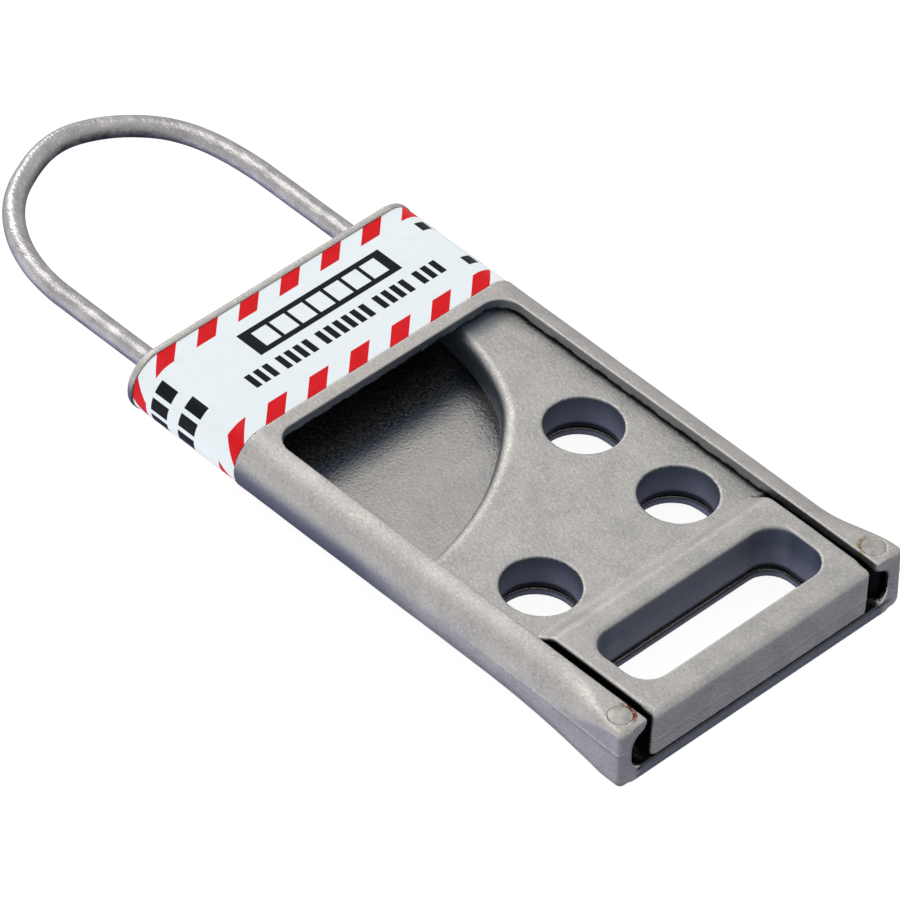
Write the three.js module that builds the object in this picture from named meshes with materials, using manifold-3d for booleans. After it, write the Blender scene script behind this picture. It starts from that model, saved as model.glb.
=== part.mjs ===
// Sliding lockout hasp. A cast housing holds a cast slider; both have three padlock holes and a slot
// that line up when the hasp is shut. The slider carries a wire shackle through the housing's hollow
// head, two stop pins keep the slider in, and a label is wrapped round the head.
// Millimetres. x runs along the housing to its open end, y across it, z up from its flat underside.
import * as THREE from 'three';
import { mergeVertices } from 'three/addons/utils/BufferGeometryUtils.js';
import Module from 'manifold-3d';

const wasm = await Module();
wasm.setup();

// ---- Driving dimensions ----
const THICKNESS = 9.4;
const HEAD_END_X = -62.4;
const OPEN_END_X = 27.0;

// The rails' outer section: nearly a half round, squarer and a little wider towards the open end.
const RAIL_ROUND = { halfWidth: 25.0, bottomRadius: 4.6, topRadius: 4.6 };
const RAIL_SQUARE = { halfWidth: 25.2, bottomRadius: 2.0, topRadius: 0.9 };
const FLARE_START_X = 9.0;
const EDGE_ROUNDING = 0.6;

// The housing's inside: one cavity from the head's end wall to the open end, under two lips.
const FLOOR_TOP = 1.85;
const LIP_UNDERSIDE = 7.75;
const CAVITY = { halfWidth: 22.9, startX: -59.8, radius: 2.3 };
const WINDOW = { startX: -40.1, halfWidth: 20.5, corner: 2.4 };
const UNDERSIDE_RECESS = { halfWidth: 17.2, depth: 0.25, startX: -36.0, corner: 2.0 };

// Padlock holes and slot, the same in the housing's floor and the slider.
const HOLE_RADIUS = 5.25;
const PADLOCK_HOLES = [[-16.9, 12.4], [0, 12.4], [0.3, -12.4]];
const SLOT = { x: 17.7, halfWidth: 5.2, halfLength: 16.7, corner: 3.6 };

// The slider runs in the cavity; its handle stands up between the lips, flush with them.
const SLIDER = { bottom: 2.1, top: 7.45, halfWidth: 22.5, radius: 1.9, tongueEndX: 22.5 };
const HANDLE = { rampStartX: 6.0, rampEndX: 9.9, endX: 27.2, halfWidth: 19.3, rounding: 0.7 };
const CUTAWAY = { x: -56.4, y: -25.4, radius: 44.2 };
const ARM = { innerY: 14.0, endX: -45.5 };

// The shackle: two straight legs joined by a half-ellipse bow, all in one level plane.
const WIRE_RADIUS = 1.5;
const WIRE_Z = 4.6;
const SHORT_LEG = { y: -18.9, endX: -57.0 };
const LONG_LEG = { y: 16.9, endX: -36.0 };
const BOW = { startX: -80.5, rise: 21.6 };
const WIRE_CLEARANCE = 0.15;

const STOP_PIN = { x: 24.3, y: 22.6, radius: 1.6, bottom: 0.3, top: THICKNESS };
const RETAINING_PIN = { x: -43.0, radius: 0.8, bottom: 2.4, top: 7.2 };
const PIN_CLEARANCE = 0.05;

// The label lies in a shallow land round the head.
const LABEL = { startX: -61.0, endX: -42.1, thickness: 0.2, sunk: 0.05 };
const LAND_DEPTH = 0.3;

const CUT = 1.0;                 // how far a cutting solid runs past the surface it cuts
const CIRCLE_SEGMENTS = 32;
const CORNER_STEPS = 6;

// The origin is at the middle of the object's footprint.
const CENTRE_X = (HANDLE.endX + BOW.startX - BOW.rise - WIRE_RADIUS) / 2;

// ---- Materials ----
const castSteel = new THREE.MeshStandardMaterial({ color: 0xa9a6a2, roughness: 0.5, metalness: 0.9 });
const sliderSteel = new THREE.MeshStandardMaterial({ color: 0xa29f9b, roughness: 0.5, metalness: 0.9 });
const wireSteel = new THREE.MeshStandardMaterial({ color: 0x9c9894, roughness: 0.35, metalness: 1.0 });
const pinSteel = new THREE.MeshStandardMaterial({ color: 0xaaa59c, roughness: 0.45, metalness: 0.9 });
const labelFilm = new THREE.MeshStandardMaterial({ color: 0xe8f1f7, roughness: 0.35, metalness: 0.0 });

// ---- Solids ----
function toSolid(geometry) {
  const bare = geometry.clone();
  bare.deleteAttribute('normal');
  bare.deleteAttribute('uv');
  const merged = mergeVertices(bare, 1e-5);
  const mesh = new wasm.Mesh({
    numProp: 3,
    vertProperties: new Float32Array(merged.attributes.position.array),
    triVerts: new Uint32Array(merged.index.array),
  });
  return new wasm.Manifold(mesh);
}

function toGeometry(solid) {
  const mesh = solid.getMesh();
  const geometry = new THREE.BufferGeometry();
  geometry.setAttribute('position', new THREE.BufferAttribute(mesh.vertProperties, 3));
  geometry.setIndex(new THREE.BufferAttribute(mesh.triVerts, 1));
  geometry.computeVertexNormals();
  return geometry;
}

// A shape in the x-y plane, raised from z0 to z1.
function extrudeZ(shape, z0, z1) {
  const options = { depth: z1 - z0, bevelEnabled: false, curveSegments: CIRCLE_SEGMENTS / 2 };
  return toSolid(new THREE.ExtrudeGeometry(shape, options).translate(0, 0, z0));
}

// A shape in the y-z plane, drawn out from x0 to x1.
function extrudeX(shape, x0, x1) {
  const options = { depth: x1 - x0, bevelEnabled: false };
  const turn = new THREE.Matrix4().makeBasis(
    new THREE.Vector3(0, 1, 0), new THREE.Vector3(0, 0, 1), new THREE.Vector3(1, 0, 0));
  return toSolid(new THREE.ExtrudeGeometry(shape, options).applyMatrix4(turn).translate(x0, 0, 0));
}

// A shape in the x-z plane, drawn out to halfWidth on both sides.
function extrudeY(shape, halfWidth) {
  const options = { depth: 2 * halfWidth, bevelEnabled: false, curveSegments: CORNER_STEPS };
  return toSolid(new THREE.ExtrudeGeometry(shape, options).rotateX(Math.PI / 2).translate(0, halfWidth, 0));
}

function cylinderZ(x, y, radius, z0, z1) {
  const geometry = new THREE.CylinderGeometry(radius, radius, z1 - z0, CIRCLE_SEGMENTS);
  return toSolid(geometry.rotateX(Math.PI / 2).translate(x, y, (z0 + z1) / 2));
}

function cylinderX(y, z, radius, x0, x1) {
  const geometry = new THREE.CylinderGeometry(radius, radius, x1 - x0, CIRCLE_SEGMENTS);
  return toSolid(geometry.rotateZ(Math.PI / 2).translate((x0 + x1) / 2, y, z));
}

// Points of a rectangle with round corners, anticlockwise from its lower right corner.
function roundedPoints(low, high, bottomRadius, topRadius) {
  const corners = [
    [high[0] - bottomRadius, low[1] + bottomRadius, bottomRadius, -90],
    [high[0] - topRadius, high[1] - topRadius, topRadius, 0],
    [low[0] + topRadius, high[1] - topRadius, topRadius, 90],
    [low[0] + bottomRadius, low[1] + bottomRadius, bottomRadius, 180],
  ];
  const points = [];
  for (const [u, v, radius, startAngle] of corners) {
    for (let step = 0; step <= CORNER_STEPS; step++) {
      const angle = THREE.MathUtils.degToRad(startAngle + 90 * step / CORNER_STEPS);
      points.push(new THREE.Vector2(u + radius * Math.cos(angle), v + radius * Math.sin(angle)));
    }
  }
  return points;
}

function roundedRectangle(low, high, radius) {
  return new THREE.Shape(roundedPoints(low, high, radius, radius));
}

// The housing's outer section, drawn in by inset all round.
function railSection(rail, inset) {
  const half = rail.halfWidth - inset;
  return roundedPoints(
    [-half, inset], [half, THICKNESS - inset], rail.bottomRadius - inset, rail.topRadius - inset);
}

function mixRails(amount) {
  const mixed = {};
  for (const key of Object.keys(RAIL_ROUND)) {
    mixed[key] = THREE.MathUtils.lerp(RAIL_ROUND[key], RAIL_SQUARE[key], amount);
  }
  return mixed;
}

// A closed body through equal-length rings of [x, section points].
function loft(rings) {
  const count = rings[0][1].length;
  const positions = rings.flatMap(([x, points]) => points.flatMap((point) => [x, point.x, point.y]));
  const index = [];
  for (let ring = 0; ring < rings.length - 1; ring++) {
    for (let side = 0; side < count; side++) {
      const a = ring * count + side;
      const b = ring * count + (side + 1) % count;
      index.push(a, b, b + count, a, b + count, a + count);
    }
  }
  const last = (rings.length - 1) * count;
  for (let side = 1; side < count - 1; side++) {
    index.push(0, side + 1, side);
    index.push(last, last + side, last + side + 1);
  }
  const geometry = new THREE.BufferGeometry();
  geometry.setAttribute('position', new THREE.Float32BufferAttribute(positions, 3));
  geometry.setIndex(index);
  return toSolid(geometry);
}

function slotShape() {
  const { x, halfWidth, halfLength, corner } = SLOT;
  return roundedRectangle([x - halfWidth, -halfLength], [x + halfWidth, halfLength], corner);
}

// Cuts the padlock holes and the slot between two heights.
function cutPadlockOpenings(solid, z0, z1) {
  let result = solid.subtract(extrudeZ(slotShape(), z0, z1));
  for (const [x, y] of PADLOCK_HOLES) {
    result = result.subtract(cylinderZ(x, y, HOLE_RADIUS, z0, z1));
  }
  return result;
}

// ---- Housing: floor, rails with lips, and the hollow head, all one casting ----
function housing() {
  const rings = [
    [HEAD_END_X, railSection(RAIL_ROUND, EDGE_ROUNDING)],
    [HEAD_END_X + EDGE_ROUNDING, railSection(RAIL_ROUND, 0)],
  ];
  const flareEndX = OPEN_END_X - EDGE_ROUNDING;
  const flareSteps = 6;
  for (let step = 0; step <= flareSteps; step++) {
    const amount = step / flareSteps;
    const rail = mixRails(THREE.MathUtils.smoothstep(amount, 0, 1));
    rings.push([THREE.MathUtils.lerp(FLARE_START_X, flareEndX, amount), railSection(rail, 0)]);
  }
  rings.push([OPEN_END_X, railSection(RAIL_SQUARE, EDGE_ROUNDING)]);
  let body = loft(rings);

  const cavitySection = roundedRectangle(
    [-CAVITY.halfWidth, FLOOR_TOP], [CAVITY.halfWidth, LIP_UNDERSIDE], CAVITY.radius);
  body = body.subtract(extrudeX(cavitySection, CAVITY.startX, OPEN_END_X + CUT));

  const windowShape = roundedRectangle(
    [WINDOW.startX, -WINDOW.halfWidth], [OPEN_END_X + 2 * WINDOW.corner, WINDOW.halfWidth], WINDOW.corner);
  body = body.subtract(extrudeZ(windowShape, (FLOOR_TOP + LIP_UNDERSIDE) / 2, THICKNESS + CUT));

  const recess = roundedRectangle(
    [UNDERSIDE_RECESS.startX, -UNDERSIDE_RECESS.halfWidth],
    [OPEN_END_X + 2 * UNDERSIDE_RECESS.corner, UNDERSIDE_RECESS.halfWidth], UNDERSIDE_RECESS.corner);
  body = body.subtract(extrudeZ(recess, -CUT, UNDERSIDE_RECESS.depth));

  body = cutPadlockOpenings(body, -CUT, FLOOR_TOP + CUT);

  const wireHoleRadius = WIRE_RADIUS + WIRE_CLEARANCE;
  for (const leg of [SHORT_LEG, LONG_LEG]) {
    body = body.subtract(
      cylinderX(leg.y, WIRE_Z, wireHoleRadius, HEAD_END_X - CUT, CAVITY.startX + CUT));
  }
  for (const side of [-1, 1]) {
    body = body.subtract(cylinderZ(
      STOP_PIN.x, side * STOP_PIN.y, STOP_PIN.radius + PIN_CLEARANCE, -CUT, THICKNESS + CUT));
  }

  const landStart = LABEL.startX - PIN_CLEARANCE;
  const landEnd = LABEL.endX + PIN_CLEARANCE;
  const around = roundedRectangle(
    [-RAIL_ROUND.halfWidth - CUT, -CUT], [RAIL_ROUND.halfWidth + CUT, THICKNESS + CUT], CUT);
  const core = new THREE.Shape(railSection(RAIL_ROUND, LAND_DEPTH));
  const land = extrudeX(around, landStart, landEnd).subtract(extrudeX(core, landStart - CUT, landEnd + CUT));
  return body.subtract(land);
}

// ---- Slider: plate with cut-away, arm and raised handle, one casting ----
function handleSolid() {
  const { rampStartX, rampEndX, endX, halfWidth, rounding } = HANDLE;
  const rampMiddleX = (rampStartX + rampEndX) / 2;
  const side = new THREE.Shape();
  side.moveTo(rampStartX, SLIDER.bottom);
  side.lineTo(endX, SLIDER.bottom);
  side.lineTo(endX, THICKNESS - rounding);
  side.quadraticCurveTo(endX, THICKNESS, endX - rounding, THICKNESS);
  side.lineTo(rampEndX, THICKNESS);
  side.bezierCurveTo(rampMiddleX, THICKNESS, rampMiddleX, SLIDER.top, rampStartX, SLIDER.top);
  const plan = roundedRectangle([rampStartX - CUT, -halfWidth], [endX, halfWidth], rounding);
  return extrudeY(side, halfWidth).intersect(extrudeZ(plan, SLIDER.bottom - CUT, THICKNESS + CUT));
}

function sliderPlan() {
  const { x, y, radius } = CUTAWAY;
  const halfWidth = SLIDER.halfWidth;
  const plan = new THREE.Shape();
  plan.moveTo(ARM.endX, halfWidth);
  plan.lineTo(ARM.endX, ARM.innerY);
  const armAngle = Math.asin((ARM.innerY - y) / radius);
  const edgeAngle = Math.asin((-halfWidth - y) / radius);
  plan.absarc(x, y, radius, armAngle, edgeAngle, true);
  plan.lineTo(SLIDER.tongueEndX, -halfWidth);
  plan.lineTo(SLIDER.tongueEndX, halfWidth);
  return plan;
}

function slider() {
  const section = roundedRectangle(
    [-SLIDER.halfWidth, SLIDER.bottom], [SLIDER.halfWidth, SLIDER.top], SLIDER.radius);
  const plate = extrudeX(section, ARM.endX - CUT, SLIDER.tongueEndX + CUT);
  let body = plate.intersect(extrudeZ(sliderPlan(), SLIDER.bottom - CUT, SLIDER.top + CUT));
  body = cutPadlockOpenings(body.add(handleSolid()), SLIDER.bottom - CUT, THICKNESS + CUT);

  const boreEndX = LONG_LEG.endX + 2 * WIRE_CLEARANCE;
  body = body.subtract(
    cylinderX(LONG_LEG.y, WIRE_Z, WIRE_RADIUS + WIRE_CLEARANCE, ARM.endX - CUT, boreEndX));
  return body.subtract(cylinderZ(
    RETAINING_PIN.x, LONG_LEG.y, RETAINING_PIN.radius + PIN_CLEARANCE,
    SLIDER.bottom - CUT, SLIDER.top + CUT));
}

// ---- Shackle ----
class ShacklePath extends THREE.Curve {
  constructor() {
    super();
    this.centreY = (SHORT_LEG.y + LONG_LEG.y) / 2;
    this.halfSpan = (LONG_LEG.y - SHORT_LEG.y) / 2;
    const longLeg = LONG_LEG.endX - BOW.startX;
    const shortLeg = SHORT_LEG.endX - BOW.startX;
    const bow = Math.PI * (this.halfSpan + BOW.rise) / 2;
    const total = longLeg + bow + shortLeg;
    this.bowStart = longLeg / total;
    this.bowEnd = (longLeg + bow) / total;
  }

  getPoint(t, target = new THREE.Vector3()) {
    if (t < this.bowStart) {
      const x = THREE.MathUtils.lerp(LONG_LEG.endX, BOW.startX, t / this.bowStart);
      return target.set(x, LONG_LEG.y, WIRE_Z);
    }
    if (t > this.bowEnd) {
      const x = THREE.MathUtils.lerp(BOW.startX, SHORT_LEG.endX, (t - this.bowEnd) / (1 - this.bowEnd));
      return target.set(x, SHORT_LEG.y, WIRE_Z);
    }
    const angle = Math.PI * (t - this.bowStart) / (this.bowEnd - this.bowStart);
    const x = BOW.startX - BOW.rise * Math.sin(angle);
    return target.set(x, this.centreY + this.halfSpan * Math.cos(angle), WIRE_Z);
  }
}

function shackle() {
  const round = new THREE.Shape();
  round.absarc(0, 0, WIRE_RADIUS, 0, 2 * Math.PI);
  const options = { steps: 96, curveSegments: 6, extrudePath: new ShacklePath() };
  const wire = toSolid(new THREE.ExtrudeGeometry(round, options));
  const pinHole = cylinderZ(
    RETAINING_PIN.x, LONG_LEG.y, RETAINING_PIN.radius + PIN_CLEARANCE,
    WIRE_Z - WIRE_RADIUS - CUT, WIRE_Z + WIRE_RADIUS + CUT);
  return wire.subtract(pinHole);
}

// ---- Pins and label ----
// A solid pin on the z axis; its top is a low dome.
function pinGeometry({ radius, bottom, top }, dome) {
  const edge = 0.2;
  const profile = [
    new THREE.Vector2(0, bottom),
    new THREE.Vector2(radius - edge, bottom),
    new THREE.Vector2(radius, bottom + edge),
    new THREE.Vector2(radius, top - edge),
    new THREE.Vector2(radius - edge, top + dome / 2),
    new THREE.Vector2(radius / 2, top + dome),
    new THREE.Vector2(0, top + dome),
  ];
  return new THREE.LatheGeometry(profile, CIRCLE_SEGMENTS).rotateX(Math.PI / 2);
}

function label() {
  const { startX, endX, thickness, sunk } = LABEL;
  const outside = new THREE.Shape(railSection(RAIL_ROUND, sunk));
  const inside = new THREE.Shape(railSection(RAIL_ROUND, sunk + thickness));
  return extrudeX(outside, startX, endX).subtract(extrudeX(inside, startX - CUT, endX + CUT));
}

// ---- Assembly ----
const group = new THREE.Group();
group.position.x = -CENTRE_X;

function addNode(name, geometry, material, parent = group) {
  const mesh = new THREE.Mesh(geometry, material);
  mesh.name = name;
  parent.add(mesh);
  return mesh;
}

addNode('housing', toGeometry(housing()), castSteel);
const stopPinDome = 0.2;
for (const [name, side] of [['stop_pin_left', -1], ['stop_pin_right', 1]]) {
  const pin = addNode(name, toGeometry(toSolid(pinGeometry(STOP_PIN, stopPinDome))), pinSteel);
  pin.position.set(STOP_PIN.x, side * STOP_PIN.y, 0);
}
addNode('label', toGeometry(label()), labelFilm);

// Everything that slides out of the head together.
const slidingGroup = new THREE.Group();
group.add(slidingGroup);
addNode('slider', toGeometry(slider()), sliderSteel, slidingGroup);
addNode('shackle', toGeometry(shackle()), wireSteel, slidingGroup);
const retainingPin = addNode(
  'shackle_retaining_pin', toGeometry(toSolid(pinGeometry(RETAINING_PIN, 0))), pinSteel, slidingGroup);
retainingPin.position.set(RETAINING_PIN.x, LONG_LEG.y, 0);

export default group;
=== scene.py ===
"""A sliding lockout hasp: cast steel housing and slider, wire shackle, pins and a wrapped label.

The castings are signed-distance fields turned into meshes, so that every edge has its own rounding.
Sizes are in millimetres, with x = 0 at the middle padlock hole, as in the CAD; place() turns them into
the frame's metres.
"""
import itertools
import math

import bpy
import numpy as np
from mathutils import Matrix, Vector


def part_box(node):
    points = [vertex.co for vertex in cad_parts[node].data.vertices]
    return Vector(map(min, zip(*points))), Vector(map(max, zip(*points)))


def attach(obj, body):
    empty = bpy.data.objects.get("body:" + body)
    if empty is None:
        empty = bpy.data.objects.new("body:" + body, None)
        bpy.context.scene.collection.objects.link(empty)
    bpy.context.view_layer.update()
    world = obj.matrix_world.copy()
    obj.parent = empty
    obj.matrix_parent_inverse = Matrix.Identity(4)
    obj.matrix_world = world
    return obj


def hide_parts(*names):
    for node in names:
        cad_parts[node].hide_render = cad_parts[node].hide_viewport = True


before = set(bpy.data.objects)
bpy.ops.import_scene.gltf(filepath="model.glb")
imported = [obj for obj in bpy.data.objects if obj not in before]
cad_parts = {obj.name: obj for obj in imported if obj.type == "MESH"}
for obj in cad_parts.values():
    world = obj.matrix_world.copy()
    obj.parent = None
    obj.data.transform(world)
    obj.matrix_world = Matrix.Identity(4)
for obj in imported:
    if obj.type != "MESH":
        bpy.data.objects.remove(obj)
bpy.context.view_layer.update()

MM = 0.001

# ---- Sizes from the frame ----
HOUSING_LOW, HOUSING_HIGH = (np.array(corner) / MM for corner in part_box("housing"))
LABEL_LOW, LABEL_HIGH = (np.array(corner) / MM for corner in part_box("label"))
SLIDER_LOW, SLIDER_HIGH = (np.array(corner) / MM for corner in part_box("slider"))
SHACKLE_LOW, SHACKLE_HIGH = (np.array(corner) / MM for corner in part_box("shackle"))
STOP_PIN_LOW, STOP_PIN_HIGH = (np.array(corner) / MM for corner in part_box("stop_pin_right"))
KEEPER_LOW, KEEPER_HIGH = (np.array(corner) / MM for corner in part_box("shackle_retaining_pin"))

OPEN_END_X = 27.0
ORIGIN = np.array([HOUSING_HIGH[0] - OPEN_END_X, 0.0, 0.0])
HEAD_END_X = HOUSING_LOW[0] - ORIGIN[0]
THICKNESS = HOUSING_HIGH[2]
WIRE_Z = (SHACKLE_LOW[2] + SHACKLE_HIGH[2]) / 2

# ---- Housing ----
RAIL_HALF_WIDTH = 25.0
RAIL_RADIUS = 4.6
# Towards the open end the rails flare out to a squarer section, with its own corners.
FLARE_START_X = 14.0
FLARE_END_X = 26.5
FLARE_HALF_WIDTH = HOUSING_HIGH[1]
FLARE_TOP_RADIUS = 0.7
FOOT_START_X = 0.0
FOOT_END_X = 24.0
FOOT_RADIUS = 1.3
HEAD_ROUNDING = 0.9
OPEN_ROUNDING = 0.7
SILL_ROUNDING = 0.2
END_DRAFT = 0.35                 # how much further the open end reaches at its foot
FLOOR_TOP = 1.85
LIP_UNDERSIDE = 7.75
CAVITY_HALF_WIDTH = 22.9
CAVITY_START_X = -59.8
CAVITY_RADIUS = 2.3
CAVITY_ROUNDING = 0.25
CAVITY_END_ROUNDING = 1.0
WINDOW_BOTTOM = FLOOR_TOP + 1.0
WINDOW_START_X = -40.1
WINDOW_HALF_WIDTH = 20.5
WINDOW_CORNER = 3.3
LIP_ROUNDING = 0.22
LIP_LOWER_ROUNDING = 0.22
LIP_END_ROUNDING = 0.9
LIP_END_START_X = 15.0
LIP_END_REACH = 10.0
FLASH_HEIGHT = 0.09              # uneven edge that the mould leaves under the lips
FLASH_TOP = LIP_UNDERSIDE + 0.7
FLASH_REACH = 0.5
DEEP_START_X = -32.6             # where painted shade begins on the pocket's floor, deepening towards the head
DEEP_REACH = 3.6
DEEP_FADE = 0.7                  # how much of the painted shade is lost again under the head's lip
CEILING_DARKNESS = 0.1           # of the painted shade on the cavity's walls inside the head, which the floor mirrors
FLANK_DARKNESS = 0.85            # of the rails' outer sides beside the head: partly darker cast skin, partly painted darker reflection
FLANK_START_X = -6.0
FLANK_REACH = 16.0
FLANK_TOP = 7.0
FLANK_SLOPE = 2.5
FLANK_START_Y = 23.3
# Painted shade on the lips' faces, deepest at the head
LIP_DARKNESS = 0.55
LIP_HEAD_DARKNESS = 0.95
END_CLEAN = 0.3                  # width of the strip at the open end that the painted shade and skin stay off
# Painted black shadow round the floor's openings and on the sill under the handle
RIM_SHADOW = 0.75
SILL_SHADOW = 0.8
SILL_SHADOW_WIDTH = 1.5
SILL_DARKNESS = 0.75             # of the painted shade on the floor's front face between the rails, below the handle
RECESS_DEPTH = 0.6
RECESS_START_X = -36.0
RECESS_END_X = 25.5
RECESS_HALF_WIDTH = 17.2
RECESS_SLOPE = 2.0
PARTING_Z = 5.7
PARTING_HEIGHT = 0.07
PARTING_WIDTH = 0.22
PARTING_START_X = -10.0
PARTING_REACH = 30.0
LAND_DEPTH = 0.3
LAND_GAP = 0.05

# ---- Openings through the floor and the slider ----
HOLE_RADIUS = 5.25
PADLOCK_HOLES = ((-16.9, 12.4), (0.0, 12.4), (0.3, -12.4))
SLOT_X = 17.7
SLOT_HALF_WIDTH = 5.2
SLOT_HALF_LENGTH = 16.7
SLOT_CORNER = 3.6
HOLE_ROUNDING = 0.3
SLOT_BACK_ROUNDING = 0.8
# Painted shade on the walls of the holes and the slot
HOLE_DARKNESS = 0.85
SLOT_DARKNESS = 0.6
SLOT_DARK_Y = 11.0               # where the painted shade on the slot's walls begins to deepen towards its ends
SLOT_DARK_REACH = 5.0

# ---- Slider ----
PLATE_BOTTOM = SLIDER_LOW[2]
PLATE_TOP = 7.45
PLATE_HALF_WIDTH = SLIDER_HIGH[1]
PLATE_RADIUS = 1.9
ARM_END_X = SLIDER_LOW[0] - ORIGIN[0]
ARM_INNER_Y = 14.0
TONGUE_END_X = 22.5
PLATE_ROUNDING = 0.5
# Painted shadow of the head's lip on the plate, from here towards the head
PLATE_DEEP_START_X = -37.0
PLATE_DEEP_REACH = 2.5
CUTAWAY_CENTRE = (-56.4, -25.4)
CUTAWAY_RADIUS = 44.2
CUTAWAY_BLEND = 8.0
CREST_ROUNDING = 2.0
RAMP_START_X = 6.0
RAMP_END_X = 9.9
HANDLE_END_X = SLIDER_HIGH[0] - ORIGIN[0]
HANDLE_HALF_WIDTH = 19.3
HANDLE_CORNER = 0.8
HANDLE_ROUNDING = 0.45
HANDLE_FRONT_ROUNDING = 0.95
HANDLE_FRONT_DEPTH = 3.0         # from the front edge to where its wider rounding begins
HANDLE_FRONT_REACH = 1.5
HANDLE_PARTING_Z = WIRE_Z
HANDLE_PARTING_HEIGHT = 0.05
HANDLE_FOOT_ROUNDING = 0.2
OPENING_SHADE_LOW = 0.95          # painted shade on the openings' walls at their foot and at their top
OPENING_SHADE_HIGH = 1.15
OPENING_SHADE_Z = 4.5
OPENING_SHADE_REACH = 2.5
# Painted black shadow along the lips' edges on the plate and round the openings' undersides
LIP_LINE_SHADOW = 0.85
LIP_LINE_WAVES = 0.08
FOOT_SHADOW = 0.9
FOOT_SHADOW_HEIGHT = 1.2

# ---- Shackle and pins ----
WIRE_RADIUS = 1.5
SHORT_LEG_Y = SHACKLE_LOW[1] + WIRE_RADIUS
LONG_LEG_Y = SHACKLE_HIGH[1] - WIRE_RADIUS
SHORT_LEG_END_X = -57.0
LONG_LEG_END_X = SHACKLE_HIGH[0] - ORIGIN[0]
BOW_START_X = -80.5
BOW_RISE = BOW_START_X - WIRE_RADIUS - (SHACKLE_LOW[0] - ORIGIN[0])
BOW_BULGE = 1.2                  # how much fuller the bow is on the long leg's side
BULGE_START = 5.0                # where the fuller part begins and ends, in degrees round the bow
BULGE_RISE = 40.0
BULGE_END = 112.0
BULGE_FALL = 35.0
BORE_ROUNDING = 0.2
WIRE_CLEARANCE = 0.15
WIRE_END_ROUNDING = 0.4
WIRE_WAVINESS = 0.004            # share of the radius
SOOT_START = 14.0                # from the bow's far end to where the soot begins
SOOT_FULL = 3.0
STOP_PIN_X = 24.3
STOP_PIN_Y = (STOP_PIN_LOW[1] + STOP_PIN_HIGH[1]) / 2
STOP_PIN_RADIUS = 1.6
KEEPER_X = (KEEPER_LOW[0] + KEEPER_HIGH[0]) / 2 - ORIGIN[0]
KEEPER_RADIUS = 0.8
PIN_CLEARANCE = 0.02
PIN_FOOT_Z = 0.3
STOP_PIN_BORE_ROUNDING = 0.06
KEEPER_BORE_ROUNDING = 0.1
STAIN_RADIUS = 2.25

# ---- Label ----
LABEL_START_X = LABEL_LOW[0] - ORIGIN[0] + 0.05
LABEL_END_X = LABEL_HIGH[0] - ORIGIN[0] - 0.1
FILM_THICKNESS = 0.12
FILM_INSET = 0.13                # of the film's outer face, below the rails' round surface
OVERLAP_INSET = 0.01
OVERLAP_LENGTH = 6.0
OVERLAP_RAMP = 1.5
# The print. A span is a run round the head, from the middle of its top; rows are its place in x.
STRIPE_PITCH = 7.3
STRIPE_WIDTH = 3.4
STRIPE_SLANT = 1.1
HEAD_STRIPES = (1.3, (-61.2, -58.5))         # a stripe's place round the head, and rows
WINDOW_STRIPES = (-1.9, (-45.0, -41.0))
PANEL_SPAN = (-11.0, 14.15)
PANEL_ROWS = (-56.7, -52.0)
BOX_SPAN = (-9.2, 12.8)
BOX_ROWS = (-55.85, -52.85)
BOX_PITCH = 3.2
BOX_WIDTH = 2.6
WORD_STARTS = ((-15.6, 3), (-10.2, 4), (-3.2, 6), (7.0, 4), (14.1, 3))     # and how many blocks
WORD_ROWS = (-50.5, -47.9)
WORD_PITCH = 1.55
WORD_WIDTH = 1.0
SIDE_BLOCKS = (
    ((-43.3, -23.1), (-57.6, -54.6)), ((-42.6, -22.4), (-52.6, -49.6)),
    ((21.2, 39.1), (-57.2, -55.4)), ((21.2, 39.1), (-48.6, -46.8)))
SIDE_PITCH = 2.6
SIDE_WIDTH = 1.9

# ---- Camera and light ----
CAMERA_AZIMUTH = 42.862
CAMERA_ELEVATION = 43.399
CAMERA_ROLL = 4.041
CAMERA_DISTANCE = 1.178965
CAMERA_LENS = 370.91
CAMERA_TARGET = Vector((0.011623, -0.001826, 0.005))
FILL_DIRECTION = (-0.68, -0.73, 0.0)
FILL_STRENGTH = 2.6

# ---- Mesh quality ----
CELL = 0.3
MOST_TRIANGLES = 190_000


def place(points):
    """Design millimetres to the frame's metres."""
    return (np.asarray(points, float) + ORIGIN) * MM


# ---- Distance fields: negative inside, in millimetres ----
def smooth_step(value):
    t = np.clip(value, 0.0, 1.0)
    return t * t * (3.0 - 2.0 * t)


def mix(a, b, amount):
    return a + (b - a) * amount


def round_cut(a, b, radius):
    """What lies inside both a and b, its edge rounded."""
    corner = np.hypot(np.maximum(a + radius, 0.0), np.maximum(b + radius, 0.0))
    return np.minimum(np.maximum(a, b), -radius) + corner


def rounded_section(u, v, half_width, low, high, low_radius, high_radius):
    """A rectangle round u = 0, from v = low to v = high, with its own radius at each end."""
    middle = (low + high) / 2
    radius = np.where(v > middle, high_radius, low_radius)
    across = np.abs(u) - half_width + radius
    along = np.abs(v - middle) - (high - low) / 2 + radius
    outside = np.hypot(np.maximum(across, 0.0), np.maximum(along, 0.0))
    return outside + np.minimum(np.maximum(across, along), 0.0) - radius


def tube(u, v, radius):
    return np.hypot(u, v) - radius


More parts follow.
